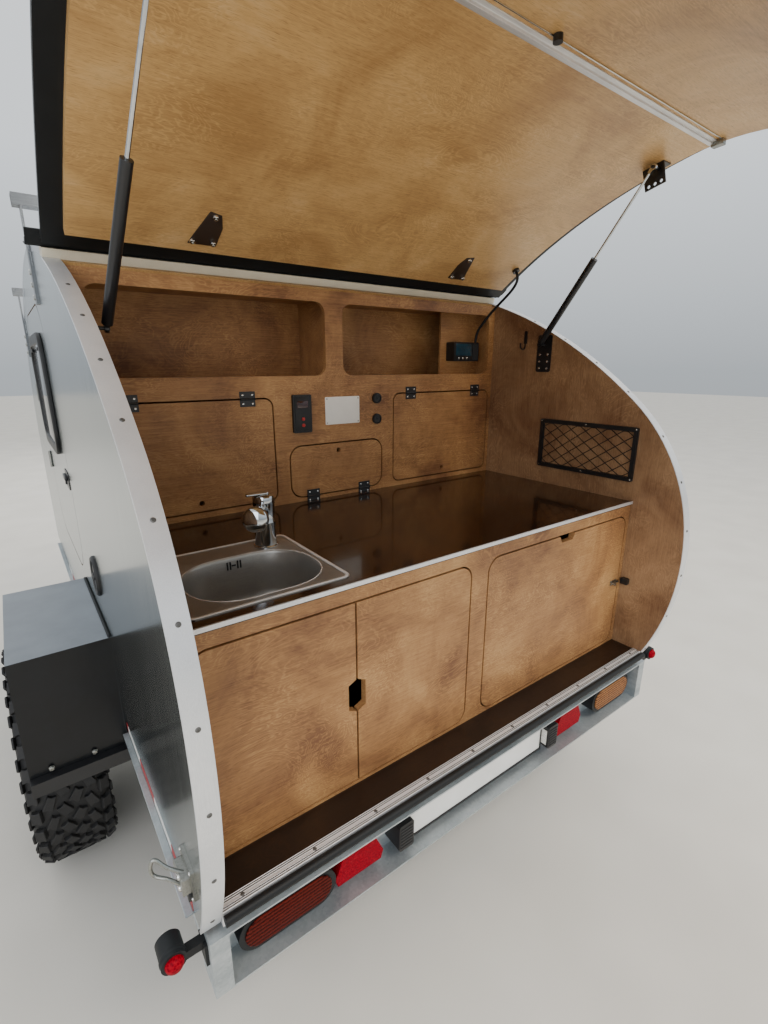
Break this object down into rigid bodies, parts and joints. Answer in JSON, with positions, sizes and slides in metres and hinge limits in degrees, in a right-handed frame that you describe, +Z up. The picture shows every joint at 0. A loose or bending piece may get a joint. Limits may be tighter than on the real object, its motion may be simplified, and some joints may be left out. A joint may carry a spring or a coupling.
{
  "type": "teardrop trailer",
  "caption": "Teardrop camping trailer with an open rear galley hatch, sink, cupboards, side doors, fenders and an A-frame drawbar.",
  "frame": {"origin": "on the ground, under the middle of the trailer's overall length and width with its hatch open", "axes": "+Y forward towards the coupling, +X to the trailer's right, +Z up"},
  "size_m": [2.09, 4.5864, 2.1328],
  "materials": {
    "galvanised": "dull hot-dip galvanised",
    "dark_ply": "dark film-faced plywood, glossy",
    "polished_aluminium": "mirror-polished sheet",
    "anodised_aluminium": "satin anodised",
    "roof_aluminium": "satin sheet",
    "bar_aluminium": "grey anodised",
    "birch_ply": "oiled birch plywood",
    "stained_ply": "stained birch plywood",
    "black_rubber": "moulded",
    "stainless": "satin stainless steel",
    "chrome": "polished",
    "black_plastic": "moulded",
    "black_cord": "knotted cord net",
    "black_metal": "black powder coat",
    "mattress_fabric": "woven cover",
    "cream_plastic": "cream edging strip",
    "red_lens": "clear moulded lens",
    "red_reflector": "prismatic reflector",
    "plate_white": "blank plate",
    "zinc_steel": "zinc-plated",
    "window_acrylic": "grey tinted acrylic",
    "tyre": "all-terrain tread",
    "wheel_metal": "black painted wheel"
  },
  "bodies": {
    "trailer": {"axle": "galvanised", "bulkhead": "stained_ply", "cabinet_face": "stained_ply", "chassis_frame": "galvanised", "counter": "dark_ply", "coupling_head": "zinc_steel", "drawbar": "galvanised", "edge_trims": "anodised_aluminium", "fender_bars": "black_metal", "fenders": "black_metal", "floor": "dark_ply", "galley_carcass": "stained_ply", "galley_controls": "black_plastic", "galley_hardware": "black_metal", "hatch_cable": "black_rubber", "jockey_tube": "zinc_steel", "lamp_beam": "galvanised", "lamp_holders": "black_plastic", "marker_lamps": "black_rubber", "mattress": "mattress_fabric", "number_plate": "plate_white", "pocket_net": "black_cord", "rear_lamps": "red_lens", "reflectors": "red_reflector", "roof_bars": "bar_aluminium", "roof_header": "cream_plastic", "roof_hinge_rail": "black_rubber", "roof_lining": "birch_ply", "roof_panel": "roof_aluminium", "side_hardware": "zinc_steel", "side_wall_left": "polished_aluminium", "side_wall_right": "polished_aluminium", "sill_roll": "black_rubber", "sink": "stainless", "tap": "chrome"},
    "hatch": {"hatch_skin": "roof_aluminium", "hatch_core": "birch_ply", "hatch_seal": "black_rubber", "hatch_hinge_leaf": "black_rubber", "hatch_fittings": "black_metal"},
    "strut_tube_left": {"strut_tube_left": "black_metal"},
    "strut_tube_right": {"strut_tube_right": "black_metal"},
    "strut_rod_left": {"strut_rod_left": "chrome"},
    "strut_rod_right": {"strut_rod_right": "chrome"},
    "lower_door_left": {"lower_door_left": "stained_ply"},
    "lower_door_centre": {"lower_door_centre": "stained_ply"},
    "lower_flap": {"lower_flap": "stained_ply"},
    "upper_flap_left": {"upper_flap_left": "stained_ply"},
    "upper_flap_centre": {"upper_flap_centre": "stained_ply"},
    "upper_flap_right": {"upper_flap_right": "stained_ply"},
    "door_left": {"door_left": "polished_aluminium", "door_window_left": "window_acrylic"},
    "door_right": {"door_right": "polished_aluminium", "door_window_right": "window_acrylic"},
    "wheel_left": {"tyre_left": "tyre", "wheel_left": "wheel_metal"},
    "wheel_right": {"tyre_right": "tyre", "wheel_right": "wheel_metal"},
    "jockey_leg": {"jockey_leg": "zinc_steel"},
    "jockey_wheel": {"jockey_wheel": "black_rubber"}
  },
  "joints": [
    {"name": "hatch_hinge", "type": "hinge", "parent": "trailer", "child": "hatch", "pos_m": [0, -0.80177, 1.80548], "axis": [-1, 0, 0], "range_deg": [-52.5, 0], "deforming": ["hatch_cable"]},
    {"name": "strut_left_pivot", "type": "hinge", "parent": "trailer", "child": "strut_tube_left", "pos_m": [-0.715, -1.101, 1.602], "axis": [-0.9988, -0.0087, -0.0484], "range_deg": [-80.08, 0]},
    {"name": "strut_left_slide", "type": "slide", "parent": "strut_tube_left", "child": "strut_rod_left", "axis": [0.1004, -0.6334, 0.7672], "range_m": [-0.23, 0]},
    {"name": "strut_right_pivot", "type": "hinge", "parent": "trailer", "child": "strut_tube_right", "pos_m": [0.715, -1.101, 1.602], "axis": [-0.9988, 0.0087, 0.0484], "range_deg": [-80.08, 0]},
    {"name": "strut_right_slide", "type": "slide", "parent": "strut_tube_right", "child": "strut_rod_right", "axis": [-0.1004, -0.6334, 0.7672], "range_m": [-0.23, 0]},
    {"name": "lower_door_left_hinge", "type": "hinge", "parent": "trailer", "child": "lower_door_left", "pos_m": [-0.7295, -1.5075, 0.81], "axis": [0, 0, -1], "range_deg": [0, 90]},
    {"name": "lower_door_centre_hinge", "type": "hinge", "parent": "trailer", "child": "lower_door_centre", "pos_m": [-0.0165, -1.5075, 0.81], "axis": [0, 0, 1], "range_deg": [0, 100]},
    {"name": "lower_flap_hinge", "type": "hinge", "parent": "trailer", "child": "lower_flap", "pos_m": [0.3885, -1.5075, 0.5695], "axis": [1, 0, 0], "range_deg": [0, 90]},
    {"name": "upper_flap_left_hinge", "type": "hinge", "parent": "trailer", "child": "upper_flap_left", "pos_m": [-0.4855, -0.8485, 1.4305], "axis": [-1, 0, 0], "range_deg": [0, 90]},
    {"name": "upper_flap_right_hinge", "type": "hinge", "parent": "trailer", "child": "upper_flap_right", "pos_m": [0.4805, -0.8485, 1.4305], "axis": [-1, 0, 0], "range_deg": [0, 90]},
    {"name": "upper_flap_centre_hinge", "type": "hinge", "parent": "trailer", "child": "upper_flap_centre", "pos_m": [-0.0065, -0.8485, 1.1005], "axis": [1, 0, 0], "range_deg": [0, 90]},
    {"name": "door_left_hinge", "type": "hinge", "parent": "trailer", "child": "door_left", "pos_m": [-0.787, 0.3205, 1.2725], "axis": [0, 0, -1], "range_deg": [0, 90]},
    {"name": "door_right_hinge", "type": "hinge", "parent": "trailer", "child": "door_right", "pos_m": [0.787, 0.3205, 1.2725], "axis": [0, 0, 1], "range_deg": [0, 90]},
    {"name": "wheel_left_spin", "type": "hinge", "parent": "trailer", "child": "wheel_left", "pos_m": [-0.945, -0.582, 0.35], "axis": [1, 0, 0], "continuous": true},
    {"name": "wheel_right_spin", "type": "hinge", "parent": "trailer", "child": "wheel_right", "pos_m": [0.945, -0.582, 0.35], "axis": [1, 0, 0], "continuous": true},
    {"name": "jockey_swivel", "type": "hinge", "parent": "trailer", "child": "jockey_leg", "pos_m": [0, 1.718, 0.3], "axis": [0, 0, 1], "continuous": true},
    {"name": "jockey_wheel_spin", "type": "hinge", "parent": "jockey_leg", "child": "jockey_wheel", "pos_m": [0, 1.673, 0.1], "axis": [1, 0, 0], "continuous": true}
  ],
  "couplings": [
    {"joint": "strut_left_pivot", "follows": "hatch_hinge", "ratio": 1.5249},
    {"joint": "strut_left_slide", "follows": "hatch_hinge", "m_per_rad": 0.25079},
    {"joint": "strut_right_pivot", "follows": "hatch_hinge", "ratio": 1.5249},
    {"joint": "strut_right_slide", "follows": "hatch_hinge", "m_per_rad": 0.25079}
  ]
}
